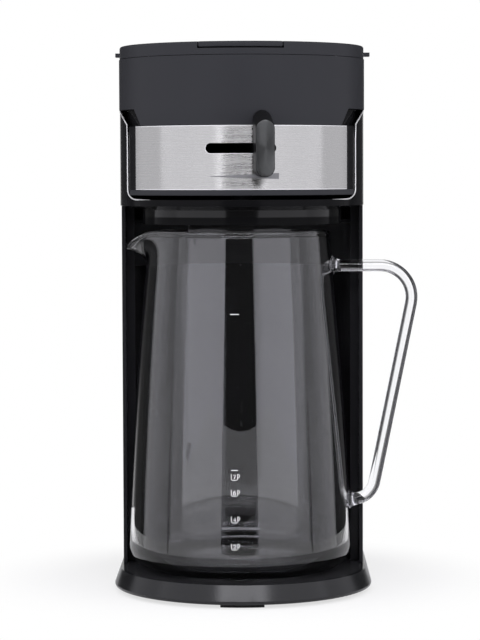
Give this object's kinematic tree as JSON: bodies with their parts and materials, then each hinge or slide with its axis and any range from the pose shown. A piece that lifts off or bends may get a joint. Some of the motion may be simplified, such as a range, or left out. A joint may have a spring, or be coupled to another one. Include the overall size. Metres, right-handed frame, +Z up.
{
  "type": "iced coffee maker",
  "caption": "Tall iced coffee maker with a drop-in brew basket, strength lever, rear water tank and a handled glass jug.",
  "frame": {"origin": "on the counter, on the vertical axis of the half-round front, under the middle of the brew basket", "axes": "+X to the right of someone facing the front, +Y to the back, +Z up"},
  "size_m": [0.1955, 0.2569, 0.3442],
  "materials": {
    "satin_grey": "satin, fine grain",
    "gloss_black": "high gloss",
    "brushed_steel": "brushed side to side",
    "clear_glass": "clear, polished",
    "knob_black": "semi gloss",
    "dark_aluminium": "spun, dark anodised",
    "black_plastic": "matte",
    "smoke_plastic": "smoke tinted, clear",
    "rubber": "matte",
    "plain_steel": "plain",
    "aluminium": "as extruded",
    "fuse_ceramic": "glazed"
  },
  "bodies": {
    "machine": {"base_rim": "satin_grey", "base_deck": "gloss_black", "bottom_cover": "black_plastic", "base_screws": "plain_steel", "feet": "rubber", "housing": "gloss_black", "bay_wall": "gloss_black", "head_tray": "gloss_black", "rear_collar": "satin_grey", "water_tank": "smoke_plastic", "tank_platform": "black_plastic", "check_valve": "black_plastic", "boiler": "aluminium", "element_pins": "plain_steel", "boiler_clamp": "aluminium", "thermostat": "plain_steel", "thermal_fuse": "fuse_ceramic", "terminal_block": "black_plastic", "feed_hose": "rubber", "riser_tube": "rubber", "riser_nozzle": "black_plastic", "switch_bezel": "black_plastic", "cord_gland": "black_plastic"},
    "power_switch": {"switch_rocker": "knob_black"},
    "brew_basket": {"basket_band": "satin_grey", "basket_drum": "gloss_black", "steel_fascia": "brushed_steel", "basket_base": "satin_grey", "brewing_cup": "black_plastic", "pivot_clip": "plain_steel", "filter_frame": "black_plastic", "filter_mesh": "plain_steel", "water_bridge": "black_plastic"},
    "strength_lever": {"valve_disc": "black_plastic", "lever_arm": "black_plastic", "lever_knob": "knob_black", "knob_cap": "dark_aluminium"},
    "brew_lid": {"lid_shell": "satin_grey", "lid_tab": "satin_grey", "lid_hinge_pins": "plain_steel"},
    "tank_cover": {"tank_lid": "satin_grey"},
    "jug": {"jug_body": "clear_glass", "jug_handle": "clear_glass"}
  },
  "joints": [
    {"name": "jug_slide", "type": "slide", "parent": "machine", "child": "jug", "axis": [0, -1, 0], "range_m": [0, 0.26]},
    {"name": "basket_lift", "type": "slide", "parent": "machine", "child": "brew_basket", "axis": [0, 0, 1], "range_m": [0, 0.14]},
    {"name": "strength_turn", "type": "hinge", "parent": "brew_basket", "child": "strength_lever", "pos_m": [0, 0, 0.2798], "axis": [0, 0, 1], "range_deg": [-22.5, 3.5]},
    {"name": "lid_hinge", "type": "hinge", "parent": "brew_basket", "child": "brew_lid", "pos_m": [0, 0.06845, 0.34025], "axis": [-1, 0, 0], "range_deg": [0, 90]},
    {"name": "tank_lid_lift", "type": "slide", "parent": "machine", "child": "tank_cover", "axis": [0, 0, 1], "range_m": [0, 0.06]},
    {"name": "power_rock", "type": "hinge", "parent": "machine", "child": "power_switch", "pos_m": [0.075, 0.1, 0.0265], "axis": [0, 0, 1], "range_deg": [-12, 0]}
  ]
}
